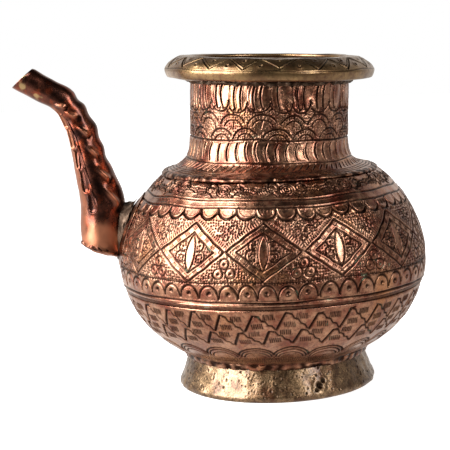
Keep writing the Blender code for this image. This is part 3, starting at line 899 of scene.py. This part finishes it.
def solder_ring(node, name, outline, seed, lump, tarnished=False):
    """A fillet of soft solder run round a joint, lumpy where the iron left it."""
    outer = resample(rounded(outline), 0.3)
    chasing = Chasing(outer, NECK_COLUMNS, seed)
    lumps = waves(chasing.theta, chasing.along, 3.2, 60, seed + 1, 52)
    fine = waves(chasing.theta, chasing.along, 1.2, 50, seed + 2, 52)
    ends = smooth_step(np.minimum(chasing.along, chasing.path[-1] - chasing.along) / 0.6)
    relief = (lump * lumps + 0.06 * fine) * ends
    stain = np.clip((0.7 if tarnished else 0.5) - 0.4 * lumps, 0, 1)
    points = turned_grid(outer, NECK_COLUMNS, relief.reshape(chasing.shape))
    fields = {"stain": stain, "inside": 0 * stain}
    piece = grid_piece(name, points, True, fields)
    keep(piece, node, ENGRAVED_COPPER if tarnished else OLD_SOLDER)


# ---------------------------------------------------------------------------
# The spout, swept along its route
# ---------------------------------------------------------------------------

# places along the spout's middle line: x and z, and its radius there
ROUTE = np.array([
    (-95.2, 80.5, 12.7), (-95.6, 93.0, 12.7), (-95.0, 106.3, 12.6), (-97.7, 119.7, 11.1),
    (-101.3, 134.1, 9.4), (-104.2, 146.4, 8.3), (-108.2, 156.1, 7.3), (-114.8, 164.8, 7.3),
    (-125.5, 171.6, 7.4), (-140.0, 180.4, 7.5)])
TIP_AT = np.array((-136.0, 177.75))
TIP_SLOPE = 0.707
TIP_BETWEEN = (7.5, 9.6)        # the places on the route that the cut at the tip lies between
BOOT_SLOPE = 0.30
SPOUT_SHEET = 1.3
LEAF_WALL = 1.9                 # extra wall behind the leaves, which keeps the bore clear of them
SEAT_GAP = 2.0                  # from the belly to the spout, which the saddle plate fills


def route_at(index):
    """Centre x and z, radius and direction of the spout's route at fractional indices."""
    last = len(ROUTE) - 1
    whole = np.clip(index.astype(int), 0, last - 1)
    share = (index - whole)[..., None]
    p0, p1 = ROUTE[np.maximum(whole - 1, 0)], ROUTE[whole]
    p2, p3 = ROUTE[whole + 1], ROUTE[np.minimum(whole + 2, last)]
    bend, twist = 2 * p0 - 5 * p1 + 4 * p2 - p3, 3 * (p1 - p2) + p3 - p0
    spot = p1 + 0.5 * share * (p2 - p0 + share * (bend + share * twist))
    slope = 0.5 * (p2 - p0 + 2 * share * bend + 3 * share ** 2 * twist)
    ahead = slope[..., :2] / np.linalg.norm(slope[..., :2], axis=-1, keepdims=True)
    return spot[..., 0], spot[..., 1], spot[..., 2], ahead


def spout_skin(index, around, growth):
    """Points on the spout, grown outwards; at its root the rings slant as the boot's end does."""
    x, z, radius, ahead = route_at(index)
    radius = radius + growth
    out = np.cos(around) * radius
    points = np.stack([x + ahead[..., 1] * out, np.sin(around) * radius,
                       z - ahead[..., 0] * out], -1)
    slant = np.clip(1 - index, 0, 1) ** 2
    points[..., 2] -= slant * BOOT_SLOPE * (points[..., 0] - ROUTE[0, 0])
    return points


def tip_index(around, growth):
    """Where each line along the spout meets the sloping cut at its tip."""
    normal = np.array((-math.sin(TIP_SLOPE), math.cos(TIP_SLOPE)))
    low, high = [np.full(around.shape, place) for place in TIP_BETWEEN]
    for _ in range(40):
        middle = (low + high) / 2
        points = spout_skin(middle, around, growth)
        past = (points[..., 0] - TIP_AT[0]) * normal[0] + (points[..., 2] - TIP_AT[1]) * normal[1]
        low, high = np.where(past < 0, middle, low), np.where(past < 0, high, middle)
    return low


# gouged teardrops: the lip's distance up the spout, its angle from the pot's side, length, half width
GOUGES = ((21.3, 113, 16, 2.1), (34.5, 120, 21, 2.0), (48.0, 125, 20, 1.7), (59.5, 134, 22, 1.8),
          (73.0, 143, 14, 1.2))
# leaves: the middle of each raised ridge, up the spout, and its angle from the pot's side
LEAVES = ((29, 56), (42.5, 61), (56, 69), (68, 79), (79, 94), (87, 108))


def spout_leaves(length, around, radius):
    """Teardrops gouged along each side of the spout, beside a row of leaves with raised tips."""
    total = length.max()
    facing = np.abs((around + math.pi) % math.tau - math.pi)
    relief, dark = 0 * length, 0 * length
    for lip, angle, long, half in GOUGES:
        across = (facing - math.radians(angle)) * radius
        rise = length - lip - half
        taper = half * np.clip(1 - rise / (long - half), 0, 1) ** 0.65
        away = np.where(rise > 0, np.abs(across) - taper, np.hypot(across, rise) - half)
        away = np.where(rise > long - half, np.hypot(across, rise - long + half), away)
        hollow = np.clip(0.15 - away / half, 0, 1) ** 0.6
        rim = 0.75 * np.exp(-((away - 0.6) / 0.5) ** 2) * np.clip(1.15 - rise / long, 0, 1)
        relief += rim - 0.8 * hollow
        dark = np.maximum(dark, 0.5 * smooth_step(-0.45 - away / half))

    # painted highlight: the spout's outer side, which faces the key light, is marked for the boot's
    # lighter copper
    wear_and_sheen = smooth_step((facing - 2.15) / 0.4)
    scale = radius / ROUTE[0, 2]
    for height, angle in LEAVES:
        across, rise = (facing - math.radians(angle)) * radius, length - height
        along, beside = (0.5 * across + 0.87 * rise) / scale, (0.87 * across - 0.5 * rise) / scale
        ridge = np.exp(-(along / 5.2) ** 2 - (beside / 1.5) ** 2)
        knuckle = np.exp(-((along + 4.0) / 2.6) ** 2 - (beside / 2.6) ** 2)
        pit = np.exp(-((along + 8.0) / 2.0) ** 2 - (beside / 2.8) ** 2)
        relief += scale * (1.5 * ridge + 0.8 * knuckle - 0.8 * pit)
        dark = np.maximum(dark, pit)
        # painted highlight beside each leaf's ridge; the ridge's own crest, rubbed bright, is real
        # wear
        glow = np.exp(-((along + 3.0) / 3.6) ** 2 - ((beside + 1.3) / 1.9) ** 2)
        wear_and_sheen = np.maximum(wear_and_sheen, 1.2 * glow + 0.6 * ridge)
    heights = [height for height, angle in LEAVES]
    count = np.interp(length, heights, np.arange(len(LEAVES)))
    knob = 0.5 * np.cos(count * math.tau) * np.exp(-(facing / 0.8) ** 2)
    relief += knob * smooth_step((length - 40) / 12) * smooth_step((total - 20 - length) / 10)
    return relief, np.clip(dark, 0, 1), np.clip(wear_and_sheen, 0, 1)


# brass-coloured patches near the tip: distance back from it, angle round the spout and size
PATCHES = ((5, 4.2, 1.7), (15, 4.0, 1.3), (2.5, 5.2, 1.2))
TIP_R = 7.4
BOOT_TOP = 97


def spout_marks(length, turn, height, groove, wear_and_sheen):
    """How stained, brassy or bright the spout's outside is, by the names that its finish reads."""
    total = length.max()
    boot = smooth_step((BOOT_TOP - height + 3 * np.sin(turn * 3)) / 7)
    tip_fade = smooth_step((total - 20 - length) / 10)
    # the boot's lighter copper is also laid on the spout as painted highlight, on its key-lit outer
    # side and beside its leaves, fading out before the tip
    boot = np.maximum(boot, 0.7 * wear_and_sheen * tip_fade)
    rough = waves(turn, length, 2.5, 24, 83, 8)
    brass = 0 * length
    for back, side, size in PATCHES:
        away = np.hypot(length - total + back, (turn - side) * TIP_R * 0.7) + 0.5 * rough
        brass = np.maximum(brass, smooth_step(1.6 - away / size))
    grime = 0.6 * smooth_step((6 - length) / 6) * np.clip(0.5 + rough, 0, 1)
    return {"stain": np.clip(groove + grime, 0, 1), "inside": 0 * length, "brass": brass,
            "boot": boot}


def build_spout():
    """The spout: a chased skin outside and a smooth bore inside, joined at its two ends."""
    columns, rows, inner_rows = 300, 460, 60
    around = np.arange(columns) * math.tau / columns
    share = np.linspace(0, 1, rows)[:, None]
    turn = np.broadcast_to(around, (rows, columns))
    index = share * tip_index(around, 0.0)
    x, z, _, _ = route_at(index)
    length = np.concatenate([np.zeros((1, columns)),
                             np.cumsum(np.hypot(np.diff(x, axis=0), np.diff(z, axis=0)), 0)])
    leaves, groove, wear_and_sheen = spout_leaves(length, turn, route_at(index)[2])
    swell = 0.22 * waves(turn, length, 16, 18, 81, 9) + 0.06 * waves(turn, length, 5, 30, 82, 9)
    ends = smooth_step(share * rows / 5) * smooth_step((1 - share) * rows / 5)
    skin = spout_skin(index, turn, (swell + leaves) * ends)
    inner_share = np.linspace(1, 0, inner_rows)[:, None]
    inner_index = inner_share * tip_index(around, -SPOUT_SHEET)
    inner_turn = np.broadcast_to(around, (inner_rows, columns))
    extra = np.interp(inner_index, [0, 2.2, 3.2, 7.0, 8.0], [0, 0, LEAF_WALL, LEAF_WALL, 0])
    lining = spout_skin(inner_index, inner_turn, -SPOUT_SHEET - extra)
    points = np.concatenate([skin, lining])
    fields = {}
    for field, values in spout_marks(length, turn, skin[..., 2], groove, wear_and_sheen).items():
        bore = np.full((inner_rows, columns), float(field == "inside"))
        fields[field] = np.concatenate([values, bore])[:, ::-1]
    piece = grid_piece("spout_fluted", points[:, ::-1], True, fields)
    trim_to_seat(piece)
    keep(piece, "spout_tube", DARK_COPPER)


def trim_to_seat(piece):
    """Cut a piece back to the saddle's outer face, where it was fitted to the pot."""
    outline = np.concatenate([[(0.4, 9.0)], belly_outline(12, SHOULDER_Z, 2.0, -SEAT_GAP),
                              [(0.4, SHOULDER_Z + SEAT_GAP)]])
    cutter = grid_piece("seat_form", turned_grid(outline, 240, leaning=False), False, caps=True)
    modifier = piece.modifiers.new("seat", "BOOLEAN")
    modifier.object = cutter
    modifier.solver = "EXACT"
    depsgraph = bpy.context.evaluated_depsgraph_get()
    trimmed = bpy.data.meshes.new_from_object(piece.evaluated_get(depsgraph))
    piece.modifiers.clear()
    piece.data = trimmed
    bpy.data.objects.remove(cutter)


def on_belly(y, z, lift):
    """Points beside the spout, at sideways distance y and height z, lifted off the belly."""
    radius = belly_radius(z)
    slope = (belly_radius(z + 0.05) - belly_radius(z - 0.05)) / 0.1
    length = np.hypot(1, slope)
    turn = y / radius
    reach = radius + lift / length
    return np.stack([-reach * np.cos(turn), reach * np.sin(turn), z - lift * slope / length], -1)


def patch_ring(name, middle_z, size_out, size_in, lift, under, seed, rough):
    """A ring of metal lying on the belly. size_out and size_in are its half width and its half
    heights below and above; lift gives how high it stands from its inner edge to its outer one,
    and under is where its lower face lies."""
    columns, rows, lower_rows = 260, 40, 8
    around = np.arange(columns) * math.tau / columns
    share = np.linspace(0, 1, rows)[:, None]
    lumps = waves(around[None, :], share * 12, 5, 30, seed, 16)
    fine = waves(around[None, :], share * 12, 2, 30, seed + 1, 16)

    def spread(sizes):
        wide, low, high = sizes
        tall = np.where(np.cos(around) > 0, high, low)
        return wide * np.sin(around), tall * np.cos(around)

    (out_y, out_z), (in_y, in_z) = spread(size_out), spread(size_in)
    wobble = 1 + rough * 0.10 * lumps * share
    y = (in_y + (out_y - in_y) * share) * wobble
    z = middle_z + (in_z + (out_z - in_z) * share) * wobble
    bumps = rough * (0.35 * lumps + 0.12 * fine) * np.sin(math.pi * share)
    high = lift(share, around[None, :]) + bumps
    top = on_belly(y, z, np.maximum(high, under + 0.15))
    rest = np.linspace(1, 0, lower_rows)[:, None]
    lower = on_belly(in_y + (out_y - in_y) * rest * wobble[-1],
                     middle_z + (in_z + (out_z - in_z) * rest) * wobble[-1], under + 0 * rest * in_y)
    points = np.concatenate([top, lower])
    stain = np.concatenate([np.clip(0.35 - 0.5 * lumps, 0, 1), np.zeros((lower_rows, columns))])
    return grid_piece(name, points, True, {"stain": stain, "inside": 0 * stain,
                                           "boot": 0.5 + 0 * stain})


def plate_height(share, turn):
    """The plate is flat round the spout and thins out to its edge."""
    return 1.7 - 1.1 * smooth_step((share - 0.45) / 0.55)


def fillet_height(share, turn):
    """The solder climbs highest above the boot, where the belly curves away from the spout."""
    above = np.cos(turn)
    return 1.9 + (1 - share) ** 1.6 * (2.8 + 2.0 * above + 1.0 * np.clip(above, 0, 1))


def build_spout_fittings():
    """The plate between the spout and the belly, and the solder round the boot."""
    plate = patch_ring("saddle_plate", 88.2, size_out=(20.0, 22.2, 22.2), size_in=(5.9, 9.8, 1.9),
                       lift=plate_height, under=0.3, seed=71, rough=0.25)
    keep(plate, "spout_saddle", ENGRAVED_COPPER)
    fillet = patch_ring("spout_solder_run", 91.5, size_out=(13.6, 18.6, 14.5),
                        size_in=(8.2, 15.0, 10.0), lift=fillet_height, under=1.8, seed=73, rough=0.55)
    keep(fillet, "spout_solder", OLD_SOLDER)


def boot_ring(outline, columns, relief):
    """Turn an outline of (radius, height above the boot's lower edge) round the boot's axis."""
    points = turned_grid(np.array(outline) + (0, ROUTE[0, 1]), columns, relief, leaning=False)
    points[..., 2] -= BOOT_SLOPE * points[..., 0]
    points[..., 0] += ROUTE[0, 0]
    return points


def build_boot_end():
    """The domed cap that closes the boot, and the solder round it."""
    radius = ROUTE[0, 2]
    dome_turn = np.linspace(0, math.pi / 2, 14)[:-1]
    outline = [(0.3, -3.7)] + [(radius * math.cos(a), -0.3 - 3.4 * math.sin(a))
                               for a in dome_turn[::-1]]
    outline = resample(np.array(outline + [(radius - 1.2, -0.3), (0.3, -0.3)]), 0.5)
    columns = 200
    around = np.arange(columns) * math.tau / columns
    lumps = waves(around[None, :], outline[:, 1:2] * 3, 4, 30, 77, radius) * 0.16
    lumps = lumps * smooth_step((outline[:, 0:1] - 2) / 4)
    points = boot_ring(outline, columns, lumps)
    grid = np.zeros(points.shape[:2])
    cap = grid_piece("boot_end_cap", points, False,
                     {"stain": grid + 0.25, "inside": grid, "boot": grid + 1}, caps=True)
    trim_to_seat(cap)
    keep(cap, "spout_end_cap", DARK_COPPER)

    bead = rounded([(radius - 0.7, -1.5), (radius - 0.2, -1.3), (radius + 0.3, -0.2),
                    (radius + 0.2, 1.2), (radius - 0.6, 1.9)])
    bead = resample(bead, 0.3)
    along = np.arange(len(bead))[:, None] * 0.3
    lumps = 0.38 * waves(around[None, :], along, 3.2, 40, 78, radius)
    lumps = lumps * smooth_step(np.minimum(along, along[-1] - along) / 0.8) - 0.15
    points = boot_ring(bead, columns, lumps)
    grid = np.zeros(points.shape[:2])
    run = grid_piece("boot_end_solder", points, True,
                     {"stain": np.clip(0.55 - 1.2 * lumps, 0, 1), "inside": grid, "boot": grid + 0.2})
    trim_to_seat(run)
    keep(run, "spout_cap_solder", DARK_COPPER)


# ---------------------------------------------------------------------------
# The studio
# ---------------------------------------------------------------------------


POT_MIDDLE = Vector((0, 0, 0.09))


def soft_box(name, azimuth, distance, height, width, tall, power):
    """A soft light beside the pot; azimuth is degrees from the camera's side towards +X."""
    data = bpy.data.lights.new(name, "AREA")
    data.shape = "RECTANGLE"
    data.size, data.size_y = width, tall
    data.energy = power
    light = bpy.data.objects.new(name, data)
    bpy.context.collection.objects.link(light)
    turn = math.radians(azimuth)
    spot = Vector((math.sin(turn) * distance, -math.cos(turn) * distance, height))
    light.location = spot
    light.rotation_euler = (POT_MIDDLE - spot).to_track_quat("-Z", "Y").to_euler()


# in the metal's reflections: the floor's glow, what the key light adds to it, and how many
# metres in front of the pot it is lit; then the walls' glow in front, beside and behind
FLOOR_GLOW, FLOOR_KEY, FLOOR_LIT = 0.58, 0.45, 0.16
ROOM_FRONT, ROOM_SIDE, ROOM_BACK = 0.02, 0.20, 0.45
KEY_POWER, FILL_POWER = 48, 10


def stage_sheet(name, verts, faces, glow, seen_by_camera):
    """A part of the studio, seen either by the camera or only in the metal's reflections."""
    mesh = bpy.data.meshes.new(name)
    mesh.from_pydata([tuple(vert) for vert in verts], [], faces)
    mesh.shade_smooth()
    layer = mesh.attributes.new("glow", "FLOAT", "POINT")
    layer.data.foreach_set("value", np.asarray(glow, np.float32))
    sheet = bpy.data.objects.new(name, mesh)
    bpy.context.collection.objects.link(sheet)
    sheet.visible_camera = seen_by_camera
    sheet.visible_glossy = not seen_by_camera
    sheet.visible_diffuse = not seen_by_camera
    sheet.visible_shadow = False
    return mesh


def flat_sheet(half, height, cells=24):
    """A level square sheet of small cells."""
    across = np.linspace(-half, half, cells + 1)
    x, y = np.meshgrid(across, across)
    verts = np.stack([x, y, height + 0 * x], -1).reshape(-1, 3)
    step = cells + 1
    faces = [(r * step + c, r * step + c + 1, (r + 1) * step + c + 1, (r + 1) * step + c)
             for r in range(cells) for c in range(cells)]
    return verts, faces


def dome(radius, rings=24, sides=72):
    """The room round the pot: a hemisphere, with each point's azimuth and elevation."""
    azimuth, elevation = np.meshgrid(np.arange(sides) * math.tau / sides - math.pi,
                                     np.linspace(-0.05, math.pi / 2 - 0.02, rings))
    verts = np.stack([np.sin(azimuth) * np.cos(elevation), -np.cos(azimuth) * np.cos(elevation),
                      np.sin(elevation)], -1).reshape(-1, 3) * radius
    faces = [(r * sides + c, r * sides + (c + 1) % sides, (r + 1) * sides + (c + 1) % sides,
              (r + 1) * sides + c) for r in range(rings - 1) for c in range(sides)]
    return verts, faces, np.degrees(azimuth).ravel(), np.degrees(elevation).ravel()


def build_studio():
    """A pale floor and white surroundings; the room's dim walls show only in reflections."""
    verts, faces = flat_sheet(2.5, 0.0)
    floor = stage_sheet("paper_floor", verts, faces, np.ones(len(verts)), True)
    paper = bpy.data.materials.new("white_paper")
    paper.use_nodes = True
    connect(paper.node_tree, paper.node_tree.nodes["Principled BSDF"], {
        "Base Color": colour("#F6F6F6"), "Roughness": 0.9,
        "Emission Color": colour("#FFFFFF"), "Emission Strength": 0.80})
    floor.materials.append(paper)

    verts, faces = flat_sheet(1.6, -0.002, 64)
    towards_key = smooth_step(0.5 - verts[:, 0] / 0.5)
    beyond = smooth_step((-verts[:, 1] - FLOOR_LIT) / 0.2)
    glow = (FLOOR_GLOW + FLOOR_KEY * towards_key) * (1 - 0.85 * beyond)
    bounce = stage_sheet("floor_bounce", verts, faces, glow, False)
    verts, faces, azimuth, elevation = dome(3.0)
    side = smooth_step((np.abs(azimuth) - 40) / 25)
    behind = smooth_step((np.abs(azimuth) - 105) / 35)
    low = 1 - smooth_step((elevation - 25) / 30)
    glow = ROOM_FRONT + side * low * ROOM_SIDE + behind * low * ROOM_BACK
    room = stage_sheet("room_walls", verts, faces, glow, False)
    glowing = bpy.data.materials.new("lit_walls")
    glowing.use_nodes = True
    tree = glowing.node_tree
    strength = add(tree, "Attribute", output="Fac", attribute_name="glow")
    lamp = add(tree, "Emission", {"Color": colour("#FFF8F0"), "Strength": strength})
    connect(tree, tree.nodes["Material Output"], {"Surface": lamp})
    bounce.materials.append(glowing)
    room.materials.append(glowing)

    soft_box("key_softbox", azimuth=-64, distance=1.05, height=0.58, width=0.95, tall=1.7,
             power=KEY_POWER)
    soft_box("fill_softbox", azimuth=44, distance=1.35, height=0.68, width=0.42, tall=1.0,
             power=FILL_POWER)
    world = bpy.data.worlds.new("white_surroundings")
    bpy.context.scene.world = world
    world.use_nodes = True
    world.node_tree.nodes["Background"].inputs["Color"].default_value = colour("#FFFFFF")
    world.cycles_visibility.glossy = False
    world.cycles_visibility.diffuse = False
    bpy.context.scene.view_settings.view_transform = "Standard"


CAMERA_ASIDE = 26.3             # mm from the pot's axis, towards the spout
CAMERA_BACK = 801.7
CAMERA_Z, TARGET_Z = 209.9, 90.24
CAMERA_ROLL = -0.0427
CAMERA_LENS = 114.3             # mm, on film that is 36 mm wide


def build_camera():
    """The camera looks down a little on the pot, and leans over by its roll."""
    spot = Vector((AXIS_X - CAMERA_ASIDE, -CAMERA_BACK, CAMERA_Z)) * MM
    target = Vector((AXIS_X - CAMERA_ASIDE, 0, TARGET_Z)) * MM
    ahead = (target - spot).normalized()
    level = ahead.cross(Vector((0, 0, 1))).normalized()
    upright = level.cross(ahead)
    right = level * math.cos(CAMERA_ROLL) + upright * math.sin(CAMERA_ROLL)
    up = upright * math.cos(CAMERA_ROLL) - level * math.sin(CAMERA_ROLL)
    data = bpy.data.cameras.new("camera")
    data.lens, data.sensor_width = CAMERA_LENS, 36.0
    data.clip_start, data.clip_end = 0.05, 20
    camera = bpy.data.objects.new("camera", data)
    camera.matrix_world = Matrix((right, up, -ahead)).transposed().to_4x4()
    camera.location = spot
    bpy.context.collection.objects.link(camera)
    bpy.context.scene.camera = camera


build_camera()
build_studio()
build_upper_bowl()
build_lower_bowl()
build_braze()
build_neck()
build_rim()
build_foot()
solder_ring("neck_solder", "neck_solder_run", [
    (57.6, 121.7), (60.7, 120.6), (60.5, 121.9), (59.1, 122.8), (57.6, 123.0)],
    seed=91, lump=0.07, tarnished=True)
solder_ring("rim_solder", "rim_solder_run", [
    (44.3, 169.9), (45.1, 170.3), (46.2, 171.1), (46.9, 172.1), (44.3, 172.1)],
    seed=92, lump=0.45)
solder_ring("foot_solder", "foot_solder_run", [
    (49.9, 19.4), (50.6, 17.2), (51.2, 17.3), (52.1, 18.6), (52.9, 20.8)],
    seed=93, lump=0.2, tarnished=True)
build_spout()
build_spout_fittings()
build_boot_end()
